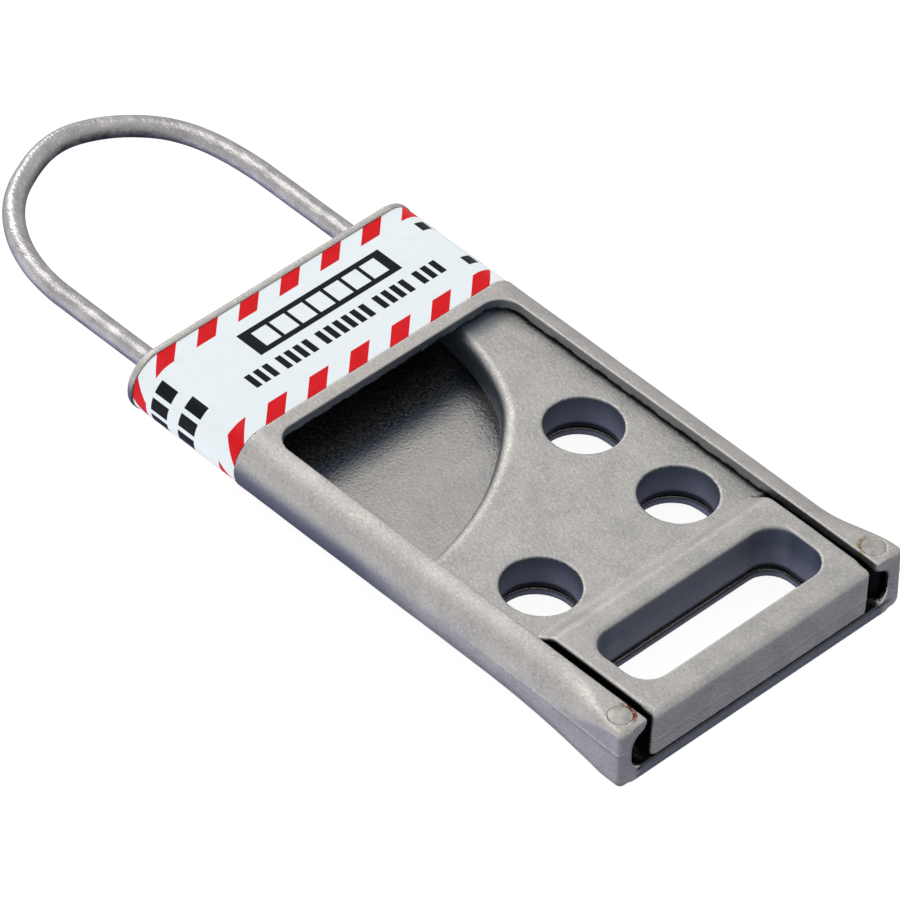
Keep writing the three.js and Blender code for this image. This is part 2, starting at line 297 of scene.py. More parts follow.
def padlock_openings(x, y):
    """The three round holes and the slot: distance, rounding of the edge and the painted shade on the walls.
    """
    for hole_x, hole_y in PADLOCK_HOLES:
        yield tube(x - hole_x, y - hole_y, HOLE_RADIUS), HOLE_ROUNDING, HOLE_DARKNESS
    slot = rounded_section(
        y, x, SLOT_HALF_LENGTH, SLOT_X - SLOT_HALF_WIDTH, SLOT_X + SLOT_HALF_WIDTH,
        SLOT_CORNER, SLOT_CORNER)
    behind = smooth_step((SLOT_X - x) / SLOT_HALF_WIDTH)
    sideways = smooth_step((np.abs(y) - SLOT_DARK_Y) / SLOT_DARK_REACH)
    darkness = mix(SLOT_DARKNESS, HOLE_DARKNESS, sideways)
    yield slot, mix(HOLE_ROUNDING, SLOT_BACK_ROUNDING, behind), darkness


def opening_distance(x, y):
    return np.minimum.reduce([opening for opening, _, _ in padlock_openings(x, y)])


def cast_unevenness(x, y, z):
    """Slow waves that keep cast faces from being dead flat."""
    slow = np.sin(0.41 * x + 1.3) * np.sin(0.37 * y + 0.4 * z + 0.5)
    fast = np.sin(0.93 * x - 0.71 * y + 0.6) * np.sin(1.07 * y + 0.52 * x)
    return 0.018 * slow + 0.01 * fast


def flash_waves(t):
    """An irregular outline between -1 and 1 for a moulded edge."""
    waves = np.sin(0.83 * t) + 0.7 * np.sin(2.17 * t + 1.1) + 0.5 * np.sin(4.9 * t + 0.4)
    return np.tanh(1.4 * waves)


def rails(x, y, z):
    flare = smooth_step((x - FLARE_START_X) / (FLARE_END_X - FLARE_START_X))
    foot = np.clip((x - FOOT_START_X) / (FOOT_END_X - FOOT_START_X), 0.0, 1.0) ** 2
    section = rounded_section(
        y, z, mix(RAIL_HALF_WIDTH, FLARE_HALF_WIDTH, flare), 0.0, THICKNESS,
        mix(RAIL_RADIUS, FOOT_RADIUS, foot), mix(RAIL_RADIUS, FLARE_TOP_RADIUS, flare))
    ridge = np.exp(-((z - PARTING_Z) / PARTING_WIDTH) ** 2)
    return section - PARTING_HEIGHT * ridge * smooth_step((x - PARTING_START_X) / PARTING_REACH)


def cavity(x, y, z):
    section = rounded_section(
        y, z, CAVITY_HALF_WIDTH, FLOOR_TOP, LIP_UNDERSIDE, CAVITY_RADIUS, CAVITY_RADIUS)
    return round_cut(section, CAVITY_START_X - x, CAVITY_END_ROUNDING)


def window(x, y, z):
    """The opening between the lips, with a slightly uneven lower edge."""
    reach = OPEN_END_X - WINDOW_START_X + 2 * WINDOW_CORNER
    plan = rounded_section(
        y, x, WINDOW_HALF_WIDTH, WINDOW_START_X, WINDOW_START_X + reach, WINDOW_CORNER, WINDOW_CORNER)
    low_edge = smooth_step((FLASH_TOP - z) / FLASH_REACH)
    flash = FLASH_HEIGHT * flash_waves(x + 1.7 * y) * low_edge
    return np.maximum(plan + flash, WINDOW_BOTTOM - z)


def recess_height(x, y):
    """Height of the cut that hollows the underside between head, rails and sill, and passes below them."""
    inward = smooth_step((RECESS_HALF_WIDTH + RECESS_SLOPE - np.abs(y)) / RECESS_SLOPE)
    onward = smooth_step((x - RECESS_START_X) / RECESS_SLOPE)
    onward *= smooth_step((RECESS_END_X - x) / RECESS_SLOPE)
    return mix(-2 * SILL_ROUNDING, RECESS_DEPTH, inward * onward)


def housing_field(x, y, z):
    outer = rails(x, y, z) + cast_unevenness(x, y, z)
    land_start = LABEL_LOW[0] - ORIGIN[0] - LAND_GAP
    land_end = LABEL_HIGH[0] - ORIGIN[0] + LAND_GAP
    land = np.abs(x - (land_start + land_end) / 2) - (land_end - land_start) / 2
    outer = np.maximum(outer, np.minimum(-land, outer + LAND_DEPTH))
    body = round_cut(outer, HEAD_END_X - x, HEAD_ROUNDING)
    end_rounding = mix(SILL_ROUNDING, OPEN_ROUNDING, smooth_step(np.abs(y) - CAVITY_HALF_WIDTH + 0.5))
    body = round_cut(body, x - OPEN_END_X - END_DRAFT * (1.0 - z / THICKNESS), end_rounding)
    body = round_cut(body, recess_height(x, y) - z, SILL_ROUNDING)
    body = round_cut(body, -cavity(x, y, z), CAVITY_ROUNDING)
    onward = smooth_step((x - LIP_END_START_X) / LIP_END_REACH)
    lower_rounding = mix(LIP_LOWER_ROUNDING, LIP_END_ROUNDING, onward)
    lip_rounding = mix(lower_rounding, LIP_ROUNDING, smooth_step(z - LIP_UNDERSIDE))
    body = round_cut(body, -window(x, y, z), lip_rounding)
    for opening, rounding, _ in padlock_openings(x, y):
        body = round_cut(body, -opening, np.minimum(rounding, HOLE_ROUNDING))
    for leg_y in (SHORT_LEG_Y, LONG_LEG_Y):
        bore = tube(y - leg_y, z - WIRE_Z, WIRE_RADIUS + WIRE_CLEARANCE)
        body = round_cut(body, -np.maximum(bore, x - CAVITY_START_X - 1.0), BORE_ROUNDING)
    for side in (-1, 1):
        bore = tube(x - STOP_PIN_X, y - side * STOP_PIN_Y, STOP_PIN_RADIUS + PIN_CLEARANCE)
        body = round_cut(body, -bore, STOP_PIN_BORE_ROUNDING)
    return body


def handle(x, y, z):
    rise = smooth_step((x - RAMP_START_X) / (RAMP_END_X - RAMP_START_X))
    top = mix(PLATE_TOP, THICKNESS, rise)
    ridge = HANDLE_PARTING_HEIGHT * np.exp(-((z - HANDLE_PARTING_Z) / PARTING_WIDTH) ** 2)
    plan = rounded_section(
        y, x, HANDLE_HALF_WIDTH, RAMP_START_X - 2.0, HANDLE_END_X, HANDLE_CORNER, HANDLE_CORNER)
    front = smooth_step((x - HANDLE_END_X + HANDLE_FRONT_DEPTH) / HANDLE_FRONT_REACH)
    body = round_cut(plan - ridge, z - top, mix(HANDLE_ROUNDING, HANDLE_FRONT_ROUNDING, front))
    return round_cut(body, PLATE_BOTTOM - z, HANDLE_FOOT_ROUNDING)


def cutaway(x, y):
    circle = tube(x - CUTAWAY_CENTRE[0], y - CUTAWAY_CENTRE[1], CUTAWAY_RADIUS)
    return round_cut(circle, y - ARM_INNER_Y, CUTAWAY_BLEND)


def slider_field(x, y, z):
    plate = rounded_section(
        y, z, PLATE_HALF_WIDTH, PLATE_BOTTOM, PLATE_TOP, PLATE_RADIUS, PLATE_RADIUS)
    plate = round_cut(plate, ARM_END_X - x, PLATE_ROUNDING)
    plate = round_cut(plate, x - TONGUE_END_X, PLATE_ROUNDING)
    plate = round_cut(plate, -cutaway(x, y), CREST_ROUNDING)
    body = np.minimum(plate, handle(x, y, z)) + cast_unevenness(x, y, z)
    for opening, rounding, _ in padlock_openings(x, y):
        body = round_cut(body, -opening, rounding)
    bore = tube(y - LONG_LEG_Y, z - WIRE_Z, WIRE_RADIUS + WIRE_CLEARANCE)
    body = round_cut(body, -np.maximum(bore, x - LONG_LEG_END_X - 2 * WIRE_CLEARANCE), BORE_ROUNDING)
    keeper = tube(x - KEEPER_X, y - LONG_LEG_Y, KEEPER_RADIUS + PIN_CLEARANCE)
    return round_cut(body, -keeper, KEEPER_BORE_ROUNDING)


# ---- Painted shade and shadow in hollows, gaps and tracks, and partly darker cast skin on the flanks ----
def near(distance, reach=0.35):
    """1 on the surface that a distance is measured from, falling to 0 at 1.5 times reach."""
    return smooth_step(1.5 - np.abs(distance) / reach)


# Painted shade on the walls of the holes and the slot.
def opening_walls(x, y):
    marks = [near(opening) * darkness for opening, _, darkness in padlock_openings(x, y)]
    return np.maximum.reduce(marks)


def housing_shade_and_skin(x, y, z, steep):
    """Painted bluish shade on the openings' walls, the lips' faces, the cavity's walls and the sill; on the
    flanks by the head partly darker cast skin, partly painted darker reflection.
    """
    at_head = smooth_step((WINDOW_START_X + 2.0 - x) / 1.5)
    lip_darkness = mix(LIP_DARKNESS, LIP_HEAD_DARKNESS, at_head)
    lips = steep * lip_darkness * near(window(x, y, z))
    cavity_darkness = mix(1.0, CEILING_DARKNESS, smooth_step(WINDOW_START_X - 0.5 - x))
    walls = steep * np.maximum(opening_walls(x, y), cavity_darkness * near(cavity(x, y, z)))
    flank = FLANK_DARKNESS * smooth_step((FLANK_START_X - x) / FLANK_REACH)
    flank = flank * smooth_step((FLANK_TOP - z) / FLANK_SLOPE)
    flank = flank * smooth_step((np.abs(y) - FLANK_START_Y) / 0.5)
    sill = SILL_DARKNESS * smooth_step((x - OPEN_END_X + 0.6) / 0.4)
    sill = sill * (np.abs(y) < CAVITY_HALF_WIDTH - 1.0) * (z < FLOOR_TOP + 0.1)
    behind_end = smooth_step((OPEN_END_X - END_CLEAN - x) / END_CLEAN)
    return np.maximum(np.maximum.reduce([walls, lips, flank]) * behind_end, sill)


def housing_painted_shadow(x, y, z):
    """Painted black shadow in the tracks under the lips, round the floor's openings and on the sill under
    the handle.
    """
    inside = smooth_step((OPEN_END_X - 0.25 - x) / 0.3)
    track = near(cavity(x, y, z)) * smooth_step((np.abs(y) - WINDOW_HALF_WIDTH - 0.2) / 0.8) * inside
    floor_edge = smooth_step((z - FLOOR_TOP + 0.5) / 0.3) * smooth_step((FLOOR_TOP + 0.3 - z) / 0.3)
    rims = RIM_SHADOW * near(opening_distance(x, y)) * floor_edge
    sill = SILL_SHADOW * smooth_step((x - OPEN_END_X + SILL_SHADOW_WIDTH) / 0.5) * floor_edge
    return np.maximum.reduce([track, rims, sill * (np.abs(y) < CAVITY_HALF_WIDTH - 1.0)])


def slider_painted_shade(x, y, z, steep):
    """Painted bluish shade on the walls of the openings and the cut-away."""
    upward = smooth_step((z - OPENING_SHADE_Z) / OPENING_SHADE_REACH)
    openings = opening_walls(x, y) * mix(OPENING_SHADE_LOW, OPENING_SHADE_HIGH, upward)
    return steep * np.maximum(openings, near(cutaway(x, y), 0.6))


def slider_painted_shadow(x, y, z):
    """Painted black shadow beside the handle, along the lips' edges and round the undersides of the
    openings.
    """
    beside = smooth_step((np.abs(y) - HANDLE_HALF_WIDTH + 0.15) / 0.15)
    beside *= smooth_step(x - RAMP_START_X - 0.5) * smooth_step((HANDLE_END_X - 0.15 - x) / 0.3)
    lip_line = np.abs(y) - WINDOW_HALF_WIDTH + 0.5 + LIP_LINE_WAVES * flash_waves(1.9 * x)
    along = LIP_LINE_SHADOW * smooth_step(lip_line / 0.5) * smooth_step(RAMP_START_X + 1.5 - x)
    at_foot = smooth_step((PLATE_BOTTOM + FOOT_SHADOW_HEIGHT - z) / 0.5)
    below = FOOT_SHADOW * near(opening_distance(x, y)) * at_foot
    return np.maximum.reduce([beside, along, below])


# ---- Fields to meshes ----
def surface_net(field, low, high, cell):
    """Vertices and quads of the field's surface, with one vertex in every cell that it crosses."""
    axes = [np.arange(low[axis] - 2 * cell, high[axis] + 2 * cell, cell) for axis in range(3)]
    inside = field(*np.ix_(*axes)) < 0
    count = np.zeros([size - 1 for size in inside.shape], np.int8)
    for shift in itertools.product((0, 1), repeat=3):
        count += inside[tuple(slice(s, size - 1 + s) for s, size in zip(shift, inside.shape))]
    crossed = (count > 0) & (count < 8)
    number = np.full(count.shape, -1)
    number[crossed] = np.arange(crossed.sum())
    vertices = np.stack(
        [axes[axis][index] + cell / 2 for axis, index in enumerate(np.nonzero(crossed))], 1)
    quads = []
    for axis in range(3):
        order = (axis, (axis + 1) % 3, (axis + 2) % 3)
        solid = inside.transpose(order)
        cells = number.transpose(order)
        behind, ahead = solid[:-1, 1:-1, 1:-1], solid[1:, 1:-1, 1:-1]
        for mask, step in ((behind & ~ahead, 1), (ahead & ~behind, -1)):
            ring = [part[mask] for part in (
                cells[:, :-1, :-1], cells[:, 1:, :-1], cells[:, 1:, 1:], cells[:, :-1, 1:])]
            quads.append(np.stack(ring[::step], 1))
    return vertices, np.concatenate(quads)


def gradient(field, points, step=0.02):
    slopes = np.empty_like(points)
    for axis in range(3):
        offset = np.zeros(3)
        offset[axis] = step
        slopes[:, axis] = field(*(points + offset).T) - field(*(points - offset).T)
    return slopes / (2 * step)


def settle(field, points, reach, rounds):
    """Moves points onto the field's surface, each by no more than reach."""
    start = points
    for _ in range(rounds):
        slopes = gradient(field, points)
        steepness = np.maximum((slopes ** 2).sum(1), 0.2)
        points = points - (field(*points.T) / steepness)[:, None] * slopes
        points = np.clip(points, start - reach, start + reach)
    return points


def edge_sharpness(field, points, reach=0.3):
    """Positive on outer edges and negative in inner corners, in 1/mm."""
    around = -6.0 * field(*points.T)
    for axis in range(3):
        offset = np.zeros(3)
        offset[axis] = reach
        around += field(*(points + offset).T) + field(*(points - offset).T)
    return around / reach ** 2


def new_object(name, vertices, faces):
    mesh = bpy.data.meshes.new(name)
    mesh.from_pydata([tuple(point) for point in vertices], [], [tuple(face) for face in faces])
    mesh.update()
    piece = bpy.data.objects.new(name, mesh)
    bpy.context.scene.collection.objects.link(piece)
    return piece


def apply_modifiers(piece):
    shaped = piece.evaluated_get(bpy.context.evaluated_depsgraph_get())
    mesh = bpy.data.meshes.new_from_object(shaped)
    piece.modifiers.clear()
    old = piece.data
    piece.data = mesh
    bpy.data.meshes.remove(old)


def set_attribute(mesh, name, values):
    layer = mesh.attributes.new(name, "FLOAT", "POINT")
    layer.data.foreach_set("value", np.asarray(values, np.float32))


def casting(name, field, shade_and_skin, painted_shadow, low, high):
    """The mesh of a field, with its normals and the marks that its material reads at every vertex."""
    vertices, quads = surface_net(field, low, high, CELL)
    vertices = settle(field, vertices, reach=0.9 * CELL, rounds=5)
    piece = new_object(name, vertices, quads.tolist())
    thin = piece.modifiers.new("thin", "DECIMATE")
    thin.ratio = min(1.0, MOST_TRIANGLES / (2 * len(quads)))
    apply_modifiers(piece)
    mesh = piece.data
    points = np.empty(3 * len(mesh.vertices), np.float32)
    mesh.vertices.foreach_get("co", points)
    points = settle(field, points.reshape(-1, 3).astype(float), reach=0.1, rounds=2)
    normals = gradient(field, points)
    normals /= np.maximum(np.linalg.norm(normals, axis=1), 1e-9)[:, None]
    set_attribute(mesh, "edge", edge_sharpness(field, points))
    set_attribute(mesh, "inner", smooth_step(1.0 - (cavity(*points.T) - 0.1) / 0.6))
    steep = smooth_step((0.8 - normals[:, 2]) / 0.4)
    set_attribute(mesh, "shade_and_skin", shade_and_skin(*points.T, steep))
    set_attribute(mesh, "painted_shadow", painted_shadow(*points.T))
    mesh.vertices.foreach_set("co", place(points).astype(np.float32).ravel())
    mesh.shade_smooth()
    mesh.normals_split_custom_set_from_vertices(normals.tolist())
    mesh.update()
    return piece


# ---- Swept, turned and wrapped pieces ----
def tube_rings(centres, sides, ups, radii, segments):
    """Closed tube through rings of points, with both ends capped."""
    angles = np.arange(segments) * 2 * math.pi / segments
    wheel = np.cos(angles)[None, :, None] * sides[:, None] + np.sin(angles)[None, :, None] * ups[:, None]
    vertices = (centres[:, None] + radii[:, None, None] * wheel).reshape(-1, 3)
    faces = []
    for ring in range(len(centres) - 1):
        for spoke in range(segments):
            a = ring * segments + spoke
            b = ring * segments + (spoke + 1) % segments
            faces.append((a, b, b + segments, a + segments))
    last = (len(centres) - 1) * segments
    faces.append(tuple(range(segments))[::-1])
    faces.append(tuple(range(last, last + segments)))
    return vertices, faces


def shackle_route():
    """Points and headings along the wire: long leg, half-ellipse bow, short leg."""
    leg_step = 0.6
    centre_y = (SHORT_LEG_Y + LONG_LEG_Y) / 2
    half_span = (LONG_LEG_Y - SHORT_LEG_Y) / 2
    points = []
    for x in np.arange(LONG_LEG_END_X, BOW_START_X, -leg_step):
        points.append((x, LONG_LEG_Y))
    for degrees in np.linspace(0.0, 180.0, 151):
        angle = math.radians(degrees)
        bulge = BOW_BULGE * smooth_step((degrees - BULGE_START) / BULGE_RISE)
        bulge *= smooth_step((BULGE_END - degrees) / BULGE_FALL)
        points.append((
            BOW_START_X - (BOW_RISE + bulge) * math.sin(angle),
            centre_y + (half_span + bulge) * math.cos(angle)))
    for x in np.arange(BOW_START_X + leg_step, SHORT_LEG_END_X, leg_step):
        points.append((x, SHORT_LEG_Y))
    points.append((SHORT_LEG_END_X, SHORT_LEG_Y))
    route = np.array(points)
    headings = np.gradient(route, axis=0)
    return route, headings / np.linalg.norm(headings, axis=1)[:, None]


def rounded_ends(route, headings, radius, rounding, steps=6):
    """Route, headings and radii with a quarter-round worked onto each end."""
    angles = np.linspace(0.0, math.pi / 2, steps, endpoint=False)
    inset = rounding * (1 - np.sin(angles))
    shrink = rounding * (1 - np.sqrt(np.clip(1 - (inset / rounding) ** 2, 0, 1)))
    start = route[0] + (rounding - inset)[:, None] * headings[0]
    end = route[-1] - (rounding - inset)[:, None] * headings[-1]
    body = slice(1, -1)
    points = np.concatenate([start, route[body], end[::-1]])
    turned = np.concatenate([
        np.repeat(headings[:1], steps, 0), headings[body], np.repeat(headings[-1:], steps, 0)])
    radii = np.concatenate([radius - shrink, np.full(len(route) - 2, radius), (radius - shrink)[::-1]])
    return points, turned, radii


def make_shackle():
    route, headings = shackle_route()
    route, headings, radii = rounded_ends(route, headings, WIRE_RADIUS, WIRE_END_ROUNDING)
    along = np.arange(len(route))
    radii = radii * (1 + WIRE_WAVINESS * np.sin(0.31 * along) * np.sin(0.17 * along + 1.0))
    centres = np.column_stack([route, np.full(len(route), WIRE_Z)])
    sides = np.column_stack([-headings[:, 1], headings[:, 0], np.zeros(len(route))])
    ups = np.repeat([[0.0, 0.0, 1.0]], len(route), 0)
    vertices, faces = tube_rings(centres, ups, sides, radii, 40)
    wire = new_object("shackle_wire", place(vertices), faces)
    radius, bottom, top = KEEPER_RADIUS + PIN_CLEARANCE, -3.0, 12.0
    cutter = turned_pin(
        "keeper_drill", KEEPER_X, LONG_LEG_Y, [(0, bottom), (radius, bottom), (radius, top), (0, top)])
    drill = wire.modifiers.new("drill", "BOOLEAN")
    drill.operation = "DIFFERENCE"
    drill.object = cutter
    apply_modifiers(wire)
    bpy.data.objects.remove(cutter)
    smooth_by_angle(wire, 40)
    return wire


def turned_pin(name, x, y, profile, segments=48):
    """A solid of revolution about a vertical axis, from (radius, height) points that start and end on it."""
    vertices = [(x, y, profile[0][1])]
    for radius, height in profile[1:-1]:
        for spoke in range(segments):
            angle = 2 * math.pi * spoke / segments
            vertices.append((x + radius * math.cos(angle), y + radius * math.sin(angle), height))
    vertices.append((x, y, profile[-1][1]))
    faces = []
    last = len(vertices) - 1
    rings = len(profile) - 2
    for spoke in range(segments):
        after = (spoke + 1) % segments
        faces.append((0, 1 + after, 1 + spoke))
        for ring in range(rings - 1):
            low = 1 + ring * segments
            faces.append((low + spoke, low + after, low + segments + after, low + segments + spoke))
        top = 1 + (rings - 1) * segments
        faces.append((top + spoke, top + after, last))
    return new_object(name, place(vertices), faces)


def domed_profile(radius, bottom, top, dome, edge, steps=8):
    """Pin outline: chamfered foot, rounded shoulder and a low domed end."""
    shoulder = top - edge
    profile = [(0, bottom), (radius - edge, bottom), (radius, bottom + edge), (radius, shoulder)]
    for step in range(1, steps + 1):
        angle = math.pi / 2 * step / steps
        profile.append((radius - edge * (1 - math.cos(angle)), shoulder + edge * math.sin(angle)))
    flat = radius - edge
    for step in range(1, steps):
        share = 1 - step / steps
        profile.append((flat * share, top + dome * (1 - share ** 2)))
    profile.append((0, top + dome))
    return profile


def smooth_by_angle(piece, degrees):
    piece.data.shade_smooth()
    piece.data.set_sharp_from_angle(angle=math.radians(degrees))


def make_pin(name, x, y, radius, bottom, top, dome, edge):
    pin = turned_pin(name, x, y, domed_profile(radius, bottom, top, dome, edge))
    smooth_by_angle(pin, 35)
    return pin


def head_lengths():
    """Lengths of the lines and corner arcs round the head, from the middle of its underside."""
    flat = RAIL_HALF_WIDTH - RAIL_RADIUS
    upright = THICKNESS - 2 * RAIL_RADIUS
    arc = math.pi / 2 * (RAIL_RADIUS - FILM_INSET)
    return [flat, arc, upright, arc, 2 * flat, arc, upright, arc, flat]


def head_outline(distance, inset):
    """(y, z) at a distance round the head's section, from the middle of its underside towards +y."""
    flat = RAIL_HALF_WIDTH - RAIL_RADIUS
    low, high = RAIL_RADIUS, THICKNESS - RAIL_RADIUS
    out = RAIL_RADIUS - inset
    # A line has its start and direction, an arc its centre and first angle.
    starts = [
        (0.0, inset, 1.0, 0.0), (flat, low, -90.0), (flat + out, low, 0.0, 1.0), (flat, high, 0.0),
        (flat, THICKNESS - inset, -1.0, 0.0), (-flat, high, 90.0), (-flat - out, high, 0.0, -1.0),
        (-flat, low, 180.0), (-flat, inset, 1.0, 0.0)]
    lengths = head_lengths()
    left = distance % sum(lengths)
    number = 0
    while number < len(lengths) - 1 and left > lengths[number]:
        left -= lengths[number]
        number += 1
    y, z, *heading = starts[number]
    if len(heading) == 1:
        angle = math.radians(heading[0] + 90.0 * left / lengths[number])
        return y + out * math.cos(angle), z + out * math.sin(angle)
    return y + left * heading[0], z + left * heading[1]


def make_label():
    """A strip of film wrapped once round the head, its end lying over its start on the underside."""
    perimeter = sum(head_lengths())
    distances = np.arange(0.0, perimeter + OVERLAP_LENGTH, 0.3)
    lift = smooth_step((distances - perimeter + OVERLAP_RAMP) / OVERLAP_RAMP)
    insets = mix(FILM_INSET, OVERLAP_INSET, lift)
    across = np.linspace(LABEL_START_X, LABEL_END_X, 24)
    vertices = []
    for depth in (0.0, FILM_THICKNESS):
        for distance, inset in zip(distances, insets):
            y, z = head_outline(distance, inset + depth)
            vertices.extend((x, y, z) for x in across)
    rows, columns = len(distances), len(across)
    under = rows * columns
    faces = []
    for row in range(rows - 1):
        for column in range(columns - 1):
            a = row * columns + column
            b = a + columns
            faces.append((a, a + 1, b + 1, b))
            faces.append((a + under, b + under, b + 1 + under, a + 1 + under))
    for row in range(rows - 1):
        a = row * columns
        b = a + columns
        faces.append((a, b, b + under, a + under))
        a += columns - 1
        b += columns - 1
        faces.append((b, a, a + under, b + under))
    for column in range(columns - 1):
        faces.append((column + 1, column, column + under, column + 1 + under))
        a = (rows - 1) * columns + column
        faces.append((a, a + 1, a + 1 + under, a + under))
    film = new_object("label_film", place(vertices), faces)
    around = np.tile(np.repeat(perimeter / 2 - distances, columns), 2)
    set_attribute(film.data, "around", around)
    set_attribute(film.data, "across", np.tile(across, 2 * rows))
    smooth_by_angle(film, 35)
    return film


# ---- Materials ----
def node(tree, kind, inputs=None, **settings):
    made = tree.nodes.new(kind)
    for name, value in settings.items():
        setattr(made, name, value)
    for key, value in (inputs or {}).items():
        if isinstance(value, bpy.types.NodeSocket):
            tree.links.new(value, made.inputs[key])
        else:
            made.inputs[key].default_value = value
    return made


def arithmetic(tree, operation, a, b=0.0):
    return node(tree, "ShaderNodeMath", {0: a, 1: b}, operation=operation).outputs[0]


def remap(tree, value, low, high, to_low=0.0, to_high=1.0):
    inputs = {"Value": value, "From Min": low, "From Max": high, "To Min": to_low, "To Max": to_high}
    return node(tree, "ShaderNodeMapRange", inputs).outputs["Result"]


def within(tree, value, low, high, soft=0.03):
    """1 where the value lies between low and high, with edges that reach soft to each side."""
    rise = remap(tree, value, low - soft, low + soft)
    fall = remap(tree, value, high + soft, high - soft)
    return arithmetic(tree, "MULTIPLY", rise, fall)


def noise(tree, place_socket, size, detail=2.0, roughness=0.5):
    """Noise whose features are about size millimetres across."""
    inputs = {"Vector": place_socket, "Scale": 1 / (size * MM), "Detail": detail, "Roughness": roughness}
    return node(tree, "ShaderNodeTexNoise", inputs).outputs["Fac"]


def blend(tree, amount, a, b):
    made = node(tree, "ShaderNodeMix", data_type="RGBA")
    for socket, value in ((made.inputs[0], amount), (made.inputs[6], a), (made.inputs[7], b)):
        if isinstance(value, bpy.types.NodeSocket):
            tree.links.new(value, socket)
        elif socket.type == "RGBA":
            socket.default_value = (*value, 1.0)
        else:
            socket.default_value = value
    return made.outputs[2]


def bump(tree, height, distance, below=None):
    """Bump of a height between 0 and 1, distance millimetres deep."""
    inputs = {"Height": height, "Distance": distance * MM, "Strength": 1.0}
    if below is not None:
        inputs["Normal"] = below
    return node(tree, "ShaderNodeBump", inputs).outputs["Normal"]


def attribute(tree, name):
    return node(tree, "ShaderNodeAttribute", attribute_name=name).outputs["Fac"]


def new_material(name):
    material = bpy.data.materials.new(name)
    material.use_nodes = True
    tree = material.node_tree
    shader = tree.nodes["Principled BSDF"]
    place_socket = node(tree, "ShaderNodeTexCoord").outputs["Object"]
    return material, tree, shader, place_socket


def link_look(tree, shader, colour, roughness, normal):
    tree.links.new(colour, shader.inputs["Base Color"])
    tree.links.new(roughness, shader.inputs["Roughness"])
    tree.links.new(normal, shader.inputs["Normal"])


def ring_mask(tree, place_socket, x, y, low, high):
    """1 in a ring round a vertical axis, between two radii in millimetres, and the offset from it."""
    centre = place((x, y, 0.0))
    moved = node(tree, "ShaderNodeVectorMath", {0: place_socket, 1: centre}, operation="SUBTRACT")
    flat = node(
        tree, "ShaderNodeVectorMath", {0: moved.outputs[0], 1: (1.0, 1.0, 0.0)}, operation="MULTIPLY")
    away = node(tree, "ShaderNodeVectorMath", {0: flat.outputs[0]}, operation="LENGTH").outputs["Value"]
    rise = remap(tree, away, low * MM, (low + 0.1) * MM)
    fall = remap(tree, away, high * MM, (high - 0.25) * MM)
    return arithmetic(tree, "MULTIPLY", rise, fall), moved.outputs[0]


def stain(tree, place_socket, colour, pin_y, tint, toward):
    """A dirty arc round one side of a stop pin; toward is the side that it lies on."""
    ring, offset = ring_mask(
        tree, place_socket, STOP_PIN_X, pin_y, STOP_PIN_RADIUS - 0.05, STAIN_RADIUS)
    side = node(tree, "ShaderNodeVectorMath", {0: offset, 1: toward}, operation="DOT_PRODUCT")
    side = remap(tree, side.outputs["Value"], 0.6 * MM, 1.4 * MM)
    patchy = remap(tree, noise(tree, place_socket, 0.5), 0.36, 0.5)
    amount = arithmetic(tree, "MULTIPLY", arithmetic(tree, "MULTIPLY", ring, side), patchy)
    return blend(tree, amount, colour, tint)


def deep_shade(tree, place_socket, inner, start_x, reach, fade):
    """Painted shade in the cavity from start_x towards the head, partly lost again further in."""
    along = node(tree, "ShaderNodeSeparateXYZ", {0: place_socket}).outputs["X"]
    inset = np.array([0.0, reach, reach + 1.0, reach + 3.5])
    start, full, turn, end = (ORIGIN[0] + start_x - inset) * MM
    shade = arithmetic(tree, "MULTIPLY", inner, remap(tree, along, start, full))
    return arithmetic(tree, "MULTIPLY", shade, remap(tree, along, turn, end, 1.0, 1.0 - fade))


